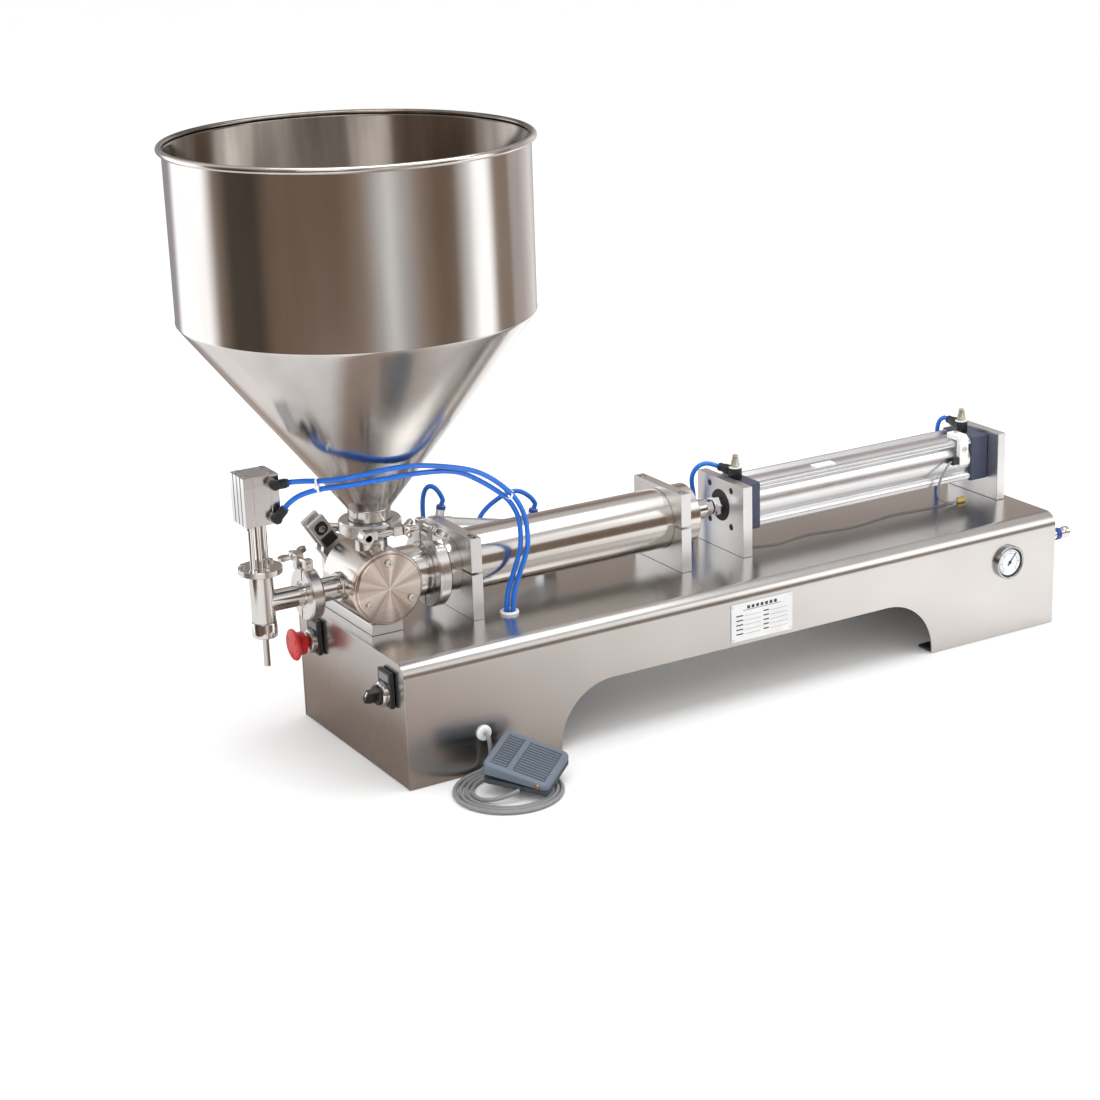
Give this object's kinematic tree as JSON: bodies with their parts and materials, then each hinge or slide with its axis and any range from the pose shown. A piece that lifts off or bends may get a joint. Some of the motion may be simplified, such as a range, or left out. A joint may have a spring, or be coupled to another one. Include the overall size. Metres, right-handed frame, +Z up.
{
  "type": "piston liquid filler",
  "caption": "Bench-top pneumatic piston filler for liquids and pastes: open hopper, rotary valve, horizontal product and air cylinders on a hollow base, shut-off nozzle and foot pedal.",
  "frame": {"origin": "middle of the machine's box, pedal included and its cable left out, on the surface that it stands on", "axes": "+X along the machine from the nozzle to the air inlet, -Y the front with the nameplate and the gauge, +Z up"},
  "size_m": [1.167, 0.477, 0.7155],
  "materials": {
    "brushed": "brushed stainless sheet",
    "polished": "polished stainless",
    "satin": "satin stainless",
    "alu": "satin aluminium",
    "navy": "dark painted metal",
    "black": "black plastic",
    "white": "white nylon",
    "brass": "nickel-plated brass",
    "chrome": "chrome plate",
    "red": "red moulded plastic",
    "blue": "blue polyurethane hose",
    "slate": "slate hammer paint",
    "cable": "grey cable jacket"
  },
  "bodies": {
    "machine": {"actuator_cylinder": "satin", "air_inlet": "satin", "base_pan": "brushed", "base_shell": "brushed", "cable_grommet": "white", "cap_front": "navy", "cap_rear": "navy", "cylinder_barrel": "alu", "estop_base": "black", "flow_front": "black", "flow_rear": "black", "gauge_body": "chrome", "hopper": "polished", "hopper_clamp": "satin", "hose_actuator_left": "blue", "hose_actuator_right": "blue", "hose_cylinder_front": "blue", "hose_cylinder_rear": "blue", "hose_grommet": "white", "hose_nozzle_lower": "blue", "hose_nozzle_upper": "blue", "mount_front": "alu", "mount_rear": "alu", "nameplate": "white", "nozzle_cylinder": "alu", "nozzle_flange": "satin", "nozzle_tee": "polished", "nozzle_tip": "polished", "outlet_clamp": "satin", "outlet_tube": "polished", "pedal_base": "slate", "pedal_coil": "cable", "pedal_lead": "cable", "pedal_tail": "cable", "position_sensor": "white", "product_clamp": "satin", "product_cylinder": "satin", "selector_base": "black", "support_a_lower": "alu", "support_a_upper": "alu", "support_b_lower": "alu", "support_b_upper": "alu", "valve_body": "polished", "valve_cover": "brushed", "valve_pedestal": "alu"},
    "piston_train": {"drive_rod": "polished", "product_piston": "white"},
    "valve": {"valve_rotor": "satin", "valve_lever": "alu"},
    "actuator_rod": {"actuator_rod": "polished"},
    "nozzle_plunger": {"nozzle_plunger": "satin"},
    "estop_head": {"estop_head": "red"},
    "selector_knob": {"selector_knob": "black"},
    "gauge_needle": {"gauge_needle": "black"},
    "flow_knob_front": {"flow_knob_front": "brass"},
    "flow_knob_rear": {"flow_knob_rear": "brass"},
    "hopper_wing": {"hopper_wing": "satin"},
    "outlet_wing": {"outlet_wing": "satin"},
    "product_wing": {"product_wing": "satin"},
    "pedal_cover": {"pedal_cover": "slate"}
  },
  "joints": [
    {"name": "piston_stroke", "type": "slide", "parent": "machine", "child": "piston_train", "axis": [-1, 0, 0], "range_m": [0, 0.24]},
    {"name": "valve_turn", "type": "hinge", "parent": "machine", "child": "valve", "pos_m": [-0.3775, 0.0255, 0.207], "axis": [0, 1, 0], "range_deg": [0, 90]},
    {"name": "actuator_stroke", "type": "slide", "parent": "machine", "child": "actuator_rod", "axis": [0.9763, 0, -0.2164], "range_m": [0, 0.0849]},
    {"name": "nozzle_lift", "type": "slide", "parent": "machine", "child": "nozzle_plunger", "axis": [0, 0, 1], "range_m": [0, 0.015]},
    {"name": "estop_press", "type": "slide", "parent": "machine", "child": "estop_head", "axis": [1, 0, 0], "range_m": [0, 0.004]},
    {"name": "selector_turn", "type": "hinge", "parent": "machine", "child": "selector_knob", "pos_m": [-0.4135, -0.0745, 0.108], "axis": [1, 0, 0], "range_deg": [-90, 0]},
    {"name": "needle_turn", "type": "hinge", "parent": "machine", "child": "gauge_needle", "pos_m": [0.46, -0.1171, 0.0995], "axis": [0, 1, 0], "range_deg": [-175, 95]},
    {"name": "flow_knob_front_turn", "type": "hinge", "parent": "machine", "child": "flow_knob_front", "pos_m": [0.1295, 0.0255, 0.264], "axis": [0, 0, 1], "range_deg": [-180, 180]},
    {"name": "flow_knob_rear_turn", "type": "hinge", "parent": "machine", "child": "flow_knob_rear", "pos_m": [0.4922, 0.0255, 0.264], "axis": [0, 0, 1], "range_deg": [-180, 180]},
    {"name": "hopper_wing_turn", "type": "hinge", "parent": "machine", "child": "hopper_wing", "pos_m": [-0.3575, -0.0155, 0.274], "axis": [1, 0, 0], "range_deg": [-180, 180]},
    {"name": "outlet_wing_turn", "type": "hinge", "parent": "machine", "child": "outlet_wing", "pos_m": [-0.46, 0.0535, 0.2436], "axis": [0, 1, 0], "range_deg": [-180, 180]},
    {"name": "product_wing_turn", "type": "hinge", "parent": "machine", "child": "product_wing", "pos_m": [-0.305, 0.0015, 0.2586], "axis": [0, -1, 0], "range_deg": [-180, 180]},
    {"name": "pedal_press", "type": "hinge", "parent": "machine", "child": "pedal_cover", "pos_m": [-0.30657, -0.22408, 0.01682], "axis": [-0.7688, -0.6215, -0.1504], "range_deg": [0, 4.5], "stiffness_Nm_per_rad": 8, "springref_deg": -3.44}
  ],
  "couplings": [
    {"joint": "actuator_stroke", "follows": "valve_turn", "m_per_rad": 0.05402}
  ]
}
